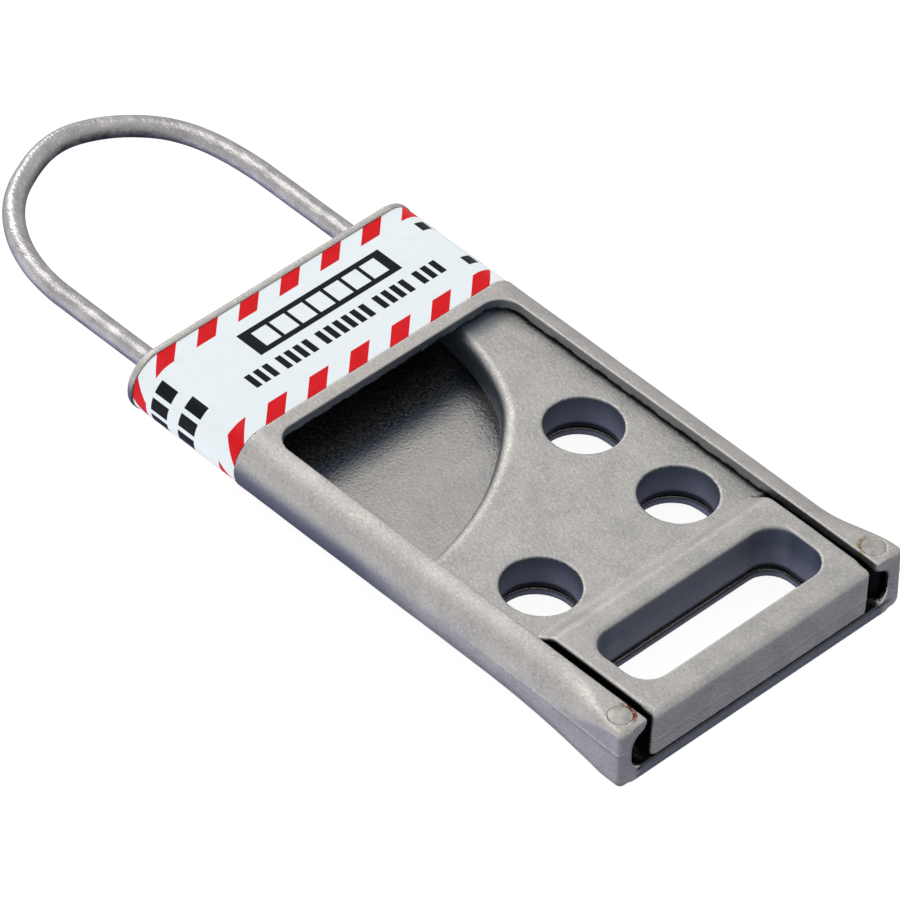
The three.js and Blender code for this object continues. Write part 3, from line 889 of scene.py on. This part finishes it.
def cast_steel(name, light, dark, deep_range, stained, floor_gloss):
    """Cast surface with grain, peel, pits and worn edges; painted shade in inner corners, in the pocket and
    where the mesh is marked (partly darker skin on the flanks), and painted black shadow where the mesh is
    marked for it.
    """
    material, tree, shader, place_socket = new_material(name)
    shader.inputs["Metallic"].default_value = 1.0
    edge = attribute(tree, "edge")
    inner = attribute(tree, "inner")
    # painted shade towards the head, joined with the marked shade and skin
    deep = deep_shade(tree, place_socket, inner, *deep_range)
    shade_and_skin = arithmetic(tree, "MAXIMUM", attribute(tree, "shade_and_skin"), deep)
    painted_shadow = attribute(tree, "painted_shadow")
    grain = noise(tree, place_socket, 0.38, 3.0, 0.65)
    peel = noise(tree, place_socket, 0.42, 2.0)
    cloud = noise(tree, place_socket, 4.0, 3.0)
    pits = remap(tree, noise(tree, place_socket, 0.6, 1.0), 0.27, 0.21, 0.0, 0.4)

    colour = blend(tree, remap(tree, cloud, 0.3, 0.7), dark, light)
    colour = blend(tree, remap(tree, grain, 0.55, 0.72, 0.0, 0.45), colour, (0.86, 0.84, 0.81))
    colour = blend(tree, remap(tree, grain, 0.45, 0.28, 0.0, 0.45), colour, (0.24, 0.23, 0.22))
    colour = blend(tree, arithmetic(tree, "SUBTRACT", pits, inner), colour, (0.20, 0.19, 0.18))
    colour = blend(tree, remap(tree, edge, 0.5, 3.0, 0.0, 0.12), colour, (0.85, 0.83, 0.80))
    # inner corners darkened: painted shade in the creases
    colour = blend(tree, remap(tree, edge, -0.3, -3.0, 0.0, 0.6), colour, (0.10, 0.10, 0.10))
    # painted bluish shade where the mesh is marked, partly darker cast skin on the flanks
    colour = blend(tree, arithmetic(tree, "MULTIPLY", shade_and_skin, 0.93), colour, (0.12, 0.148, 0.195))
    # painted black shadow where the mesh is marked
    colour = blend(tree, painted_shadow, colour, (0.012, 0.012, 0.013))
    if stained:
        colour = stain(tree, place_socket, colour, -STOP_PIN_Y, (0.20, 0.045, 0.02), (0.3, 1.0, 0.0))
        colour = stain(tree, place_socket, colour, STOP_PIN_Y, (0.30, 0.22, 0.06), (-0.7, -0.5, 0.0))

    polish = arithmetic(tree, "MULTIPLY", inner, floor_gloss)
    roughness = remap(tree, peel, 0.3, 0.7, 0.50, 0.60)
    roughness = arithmetic(tree, "SUBTRACT", roughness, polish)
    calm = arithmetic(tree, "MULTIPLY", deep, 0.4)
    peel_depth = arithmetic(tree, "SUBTRACT", remap(tree, inner, 0.0, 1.0, 0.25, 0.75), calm)
    peel_height = arithmetic(tree, "MULTIPLY", peel, peel_depth)
    normal = bump(tree, peel_height, 0.075)
    normal = bump(tree, grain, 0.045, normal)
    link_look(tree, shader, colour, roughness, normal)
    return material


def wire_steel(name):
    material, tree, shader, place_socket = new_material(name)
    shader.inputs["Metallic"].default_value = 1.0
    stretched = node(
        tree, "ShaderNodeMapping", {"Vector": place_socket, "Scale": (0.35, 1.0, 1.0)}).outputs[0]
    dents = noise(tree, stretched, 0.6, 2.0)
    grain = noise(tree, place_socket, 0.3, 2.0)
    cloud = noise(tree, place_socket, 3.0, 2.0)
    colour = blend(tree, remap(tree, cloud, 0.35, 0.7), (0.40, 0.385, 0.395), (0.55, 0.535, 0.535))
    colour = blend(tree, remap(tree, grain, 0.55, 0.75, 0.0, 0.4), colour, (0.95, 0.95, 0.96))
    soot = bow_soot(tree, place_socket, cloud)
    colour = blend(tree, soot, colour, (0.11, 0.095, 0.085))
    roughness = remap(tree, dents, 0.3, 0.7, 0.28, 0.44)
    normal = bump(tree, dents, 0.12)
    normal = bump(tree, grain, 0.05, normal)
    link_look(tree, shader, colour, roughness, normal)
    return material


def bow_soot(tree, place_socket, cloud):
    """Dark handling marks on the inner side of the bow, strongest at its far end."""
    parts = node(tree, "ShaderNodeSeparateXYZ", {0: place_socket}).outputs
    tip = place((BOW_START_X - BOW_RISE, 0.0, 0.0))[0]
    far = remap(tree, parts["X"], tip + SOOT_START * MM, tip + SOOT_FULL * MM)
    low = remap(tree, parts["Z"], (WIRE_Z + 1.2) * MM, (WIRE_Z + 0.2) * MM)
    patch = remap(tree, cloud, 0.4, 0.6, 0.35, 0.95)
    return arithmetic(tree, "MULTIPLY", arithmetic(tree, "MULTIPLY", far, low), patch)


def pin_steel(name):
    material, tree, shader, place_socket = new_material(name)
    shader.inputs["Metallic"].default_value = 1.0
    grain = noise(tree, place_socket, 0.2, 2.0)
    scuffs = noise(tree, place_socket, 0.9, 3.0)
    colour = blend(tree, remap(tree, scuffs, 0.3, 0.7), (0.40, 0.385, 0.36), (0.58, 0.56, 0.53))
    height = node(tree, "ShaderNodeSeparateXYZ", {0: place_socket}).outputs["Z"]
    # the shaft down in the bore is painted near black: painted shade of the bore
    shaft_shade = within(tree, height, 0.8 * MM, (THICKNESS - 0.45) * MM, 0.15 * MM)
    colour = blend(tree, shaft_shade, colour, (0.012, 0.012, 0.013))
    roughness = remap(tree, scuffs, 0.3, 0.7, 0.46, 0.58)
    normal = bump(tree, scuffs, 0.05)
    normal = bump(tree, grain, 0.015, normal)
    link_look(tree, shader, colour, roughness, normal)
    return material


def block_row(tree, around, across, span, rows, pitch, width):
    """Equal blocks along the strip: span is their run round the head, rows their place across it."""
    phase = arithmetic(tree, "MODULO", arithmetic(tree, "SUBTRACT", around, span[0]), pitch)
    blocks = within(tree, phase, 0.0, width)
    blocks = arithmetic(tree, "MULTIPLY", blocks, within(tree, around, span[0], span[1]))
    return arithmetic(tree, "MULTIPLY", blocks, within(tree, across, *rows))


def stripe_band(tree, around, across, start, rows):
    """Slanted stripes along one edge of the label."""
    ahead = 20 * STRIPE_PITCH                # keeps what MODULO divides above 0 all round
    shifted = arithmetic(tree, "MULTIPLY", arithmetic(tree, "SUBTRACT", across, rows[0]), STRIPE_SLANT)
    shifted = arithmetic(tree, "ADD", arithmetic(tree, "ADD", around, shifted), ahead - start)
    phase = arithmetic(tree, "MODULO", shifted, STRIPE_PITCH)
    stripes = within(tree, phase, 0.0, STRIPE_WIDTH)
    return arithmetic(tree, "MULTIPLY", stripes, within(tree, across, *rows))


def label_print(name):
    """White film with red edge stripes, a black panel and plain blocks where a label has its wording."""
    material, tree, shader, place_socket = new_material(name)
    around = attribute(tree, "around")
    across = attribute(tree, "across")
    fibre = noise(tree, place_socket, 1.6, 3.0)
    white = blend(tree, remap(tree, fibre, 0.3, 0.7), (0.86, 0.93, 0.97), (0.89, 0.96, 1.0))
    red = blend(tree, remap(tree, fibre, 0.3, 0.7), (0.68, 0.006, 0.012), (0.76, 0.009, 0.016))
    ink = (0.006, 0.008, 0.011)

    stripes = arithmetic(
        tree, "MAXIMUM",
        stripe_band(tree, around, across, *HEAD_STRIPES),
        stripe_band(tree, around, across, *WINDOW_STRIPES))
    colour = blend(tree, stripes, white, red)
    panel = arithmetic(
        tree, "MULTIPLY", within(tree, around, *PANEL_SPAN), within(tree, across, *PANEL_ROWS))
    colour = blend(tree, panel, colour, ink)
    boxes = block_row(tree, around, across, BOX_SPAN, BOX_ROWS, BOX_PITCH, BOX_WIDTH)
    colour = blend(tree, boxes, colour, white)
    for start, blocks in WORD_STARTS:
        span = (start, start + blocks * WORD_PITCH - 0.3)
        words = block_row(tree, around, across, span, WORD_ROWS, WORD_PITCH, WORD_WIDTH)
        colour = blend(tree, words, colour, ink)
    for span, rows in SIDE_BLOCKS:
        words = block_row(tree, around, across, span, rows, SIDE_PITCH, SIDE_WIDTH)
        colour = blend(tree, words, colour, ink)

    roughness = remap(tree, fibre, 0.3, 0.7, 0.30, 0.40)
    shader.inputs["Specular IOR Level"].default_value = 0.12
    wrinkles = noise(tree, place_socket, 4.0, 1.0)
    normal = bump(tree, wrinkles, 0.06)
    normal = bump(tree, noise(tree, place_socket, 0.3, 1.0), 0.003, normal)
    link_look(tree, shader, colour, roughness, normal)
    return material


def floor_paper(name):
    material, tree, shader, place_socket = new_material(name)
    cloud = noise(tree, place_socket, 60.0, 2.0)
    colour = blend(tree, remap(tree, cloud, 0.3, 0.7), (0.21, 0.21, 0.21), (0.23, 0.23, 0.23))
    normal = bump(tree, noise(tree, place_socket, 0.8, 2.0), 0.02)
    shader.inputs["Emission Color"].default_value = (1.0, 1.0, 1.0, 1.0)
    shader.inputs["Emission Strength"].default_value = 0.9
    link_look(tree, shader, colour, remap(tree, cloud, 0.3, 0.7, 0.85, 0.9), normal)
    return material


def dress(piece, material, body, cad_node):
    piece.data.materials.clear()
    piece.data.materials.append(material)
    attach(piece, body)
    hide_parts(cad_node)


# ---- Stage ----
def make_floor():
    """A square sheet, in metres, just below the part, that the metal doesn't mirror."""
    half, steps, depth = 0.9, 12, 0.00005
    line = np.linspace(-half, half, steps + 1)
    vertices = [(x, y, -depth) for x in line for y in line]
    faces = []
    for row in range(steps):
        for column in range(steps):
            a = row * (steps + 1) + column
            faces.append((a, a + steps + 1, a + steps + 2, a + 1))
    floor = new_object("studio_floor", vertices, faces)
    floor.data.materials.append(floor_paper("floor_paper"))
    floor.visible_glossy = False


def soft_box(name, direction, distance, size, power, colour):
    """A square area light that shines on the frame's origin."""
    light = bpy.data.lights.new(name, "AREA")
    light.size = size
    light.energy = power
    light.color = colour
    lamp = bpy.data.objects.new(name, light)
    bpy.context.scene.collection.objects.link(lamp)
    aim = Vector(direction).normalized()
    lamp.location = aim * distance
    lamp.rotation_euler = aim.to_track_quat("Z", "Y").to_euler()


def sky():
    """Even surroundings: bright above, dimmer and bluer low down, with a low fill on one side."""
    world = bpy.data.worlds.new("studio")
    bpy.context.scene.world = world
    world.use_nodes = True
    tree = world.node_tree
    direction = node(tree, "ShaderNodeTexCoord").outputs["Generated"]
    height = node(tree, "ShaderNodeSeparateXYZ", {0: direction}).outputs["Z"]
    ramp = node(tree, "ShaderNodeValToRGB", {"Fac": remap(tree, height, -1.0, 1.0)})
    stops = (
        (0.0, (0.09, 0.095, 0.14)), (0.15, (0.185, 0.19, 0.28)), (0.33, (0.42, 0.42, 0.47)),
        (0.50, (0.68, 0.68, 0.69)), (0.60, (0.73, 0.73, 0.735)), (0.85, (0.68, 0.68, 0.68)),
        (1.0, (0.80, 0.795, 0.785)))
    elements = ramp.color_ramp.elements
    while len(elements) < len(stops):
        elements.new(0.5)
    for element, (position, colour) in zip(elements, stops):
        element.position = position
        element.color = (*colour, 1.0)
    background = tree.nodes["Background"]
    tree.links.new(ramp.outputs["Color"], background.inputs["Color"])
    aside = node(
        tree, "ShaderNodeVectorMath", {0: direction, 1: FILL_DIRECTION}, operation="DOT_PRODUCT")
    side = remap(tree, aside.outputs["Value"], 0.1, 0.8)
    low = remap(tree, height, 0.3, -0.5)
    fill = remap(tree, arithmetic(tree, "MULTIPLY", side, low), 0.0, 1.0, 1.0, FILL_STRENGTH)
    tree.links.new(fill, background.inputs["Strength"])


def make_camera():
    camera = bpy.data.objects.new("camera", bpy.data.cameras.new("camera"))
    bpy.context.scene.collection.objects.link(camera)
    azimuth, elevation, roll = (
        math.radians(angle) for angle in (CAMERA_AZIMUTH, CAMERA_ELEVATION, CAMERA_ROLL))
    back = Vector((
        math.sin(azimuth) * math.cos(elevation), -math.cos(azimuth) * math.cos(elevation),
        math.sin(elevation)))
    right = Vector((0.0, 0.0, 1.0)).cross(back).normalized()
    up = back.cross(right)
    rolled_right = right * math.cos(roll) + up * math.sin(roll)
    rolled_up = up * math.cos(roll) - right * math.sin(roll)
    turn = Matrix((rolled_right, rolled_up, back)).transposed().to_4x4()
    camera.matrix_world = Matrix.Translation(CAMERA_TARGET + back * CAMERA_DISTANCE) @ turn
    camera.data.lens = CAMERA_LENS
    camera.data.clip_start = 0.05
    camera.data.clip_end = 10.0
    bpy.context.scene.camera = camera


# ---- Assembly ----
make_camera()
bpy.context.scene.view_settings.view_transform = "Standard"
sky()
make_floor()
soft_box("key", (-0.5, -0.1, 0.86), distance=0.7, size=0.4, power=0.75, colour=(1.0, 0.985, 0.96))
soft_box("back", (-0.85, 0.2, 0.45), distance=0.7, size=0.2, power=0.9, colour=(1.0, 0.98, 0.95))

housing = casting(
    "housing_casting", housing_field, housing_shade_and_skin, housing_painted_shadow,
    HOUSING_LOW - ORIGIN, HOUSING_HIGH - ORIGIN)
dress(
    housing, cast_steel(
        "housing_steel", (0.57, 0.55, 0.525), (0.48, 0.465, 0.455),
        (DEEP_START_X, DEEP_REACH, DEEP_FADE), stained=True, floor_gloss=0.27),
    "housing_body", "housing")
slider = casting(
    "slider_casting", slider_field, slider_painted_shade, slider_painted_shadow,
    SLIDER_LOW - ORIGIN, SLIDER_HIGH - ORIGIN)
dress(
    slider, cast_steel(
        "slider_steel", (0.56, 0.545, 0.525), (0.47, 0.46, 0.45),
        (PLATE_DEEP_START_X, PLATE_DEEP_REACH, 0.0), stained=False, floor_gloss=0.0),
    "slider_body", "slider")
dress(make_shackle(), wire_steel("shackle_steel"), "slider_body", "shackle")

pin_finish = pin_steel("pin_steel")
left_pin = make_pin(
    "stop_pin_left_turned", STOP_PIN_X, -STOP_PIN_Y, STOP_PIN_RADIUS,
    PIN_FOOT_Z, THICKNESS + 0.03, dome=0.2, edge=0.12)
dress(left_pin, pin_finish, "housing_body", "stop_pin_left")
right_pin = make_pin(
    "stop_pin_right_turned", STOP_PIN_X, STOP_PIN_Y, STOP_PIN_RADIUS,
    PIN_FOOT_Z, THICKNESS - 0.02, dome=0.04, edge=0.05)
dress(right_pin, pin_finish, "housing_body", "stop_pin_right")
keeper_pin = make_pin(
    "retaining_pin_turned", KEEPER_X, LONG_LEG_Y, KEEPER_RADIUS,
    KEEPER_LOW[2], KEEPER_HIGH[2] - 0.1, dome=0.1, edge=0.12)
dress(keeper_pin, pin_finish, "slider_body", "shackle_retaining_pin")
dress(make_label(), label_print("label_print"), "housing_body", "label")
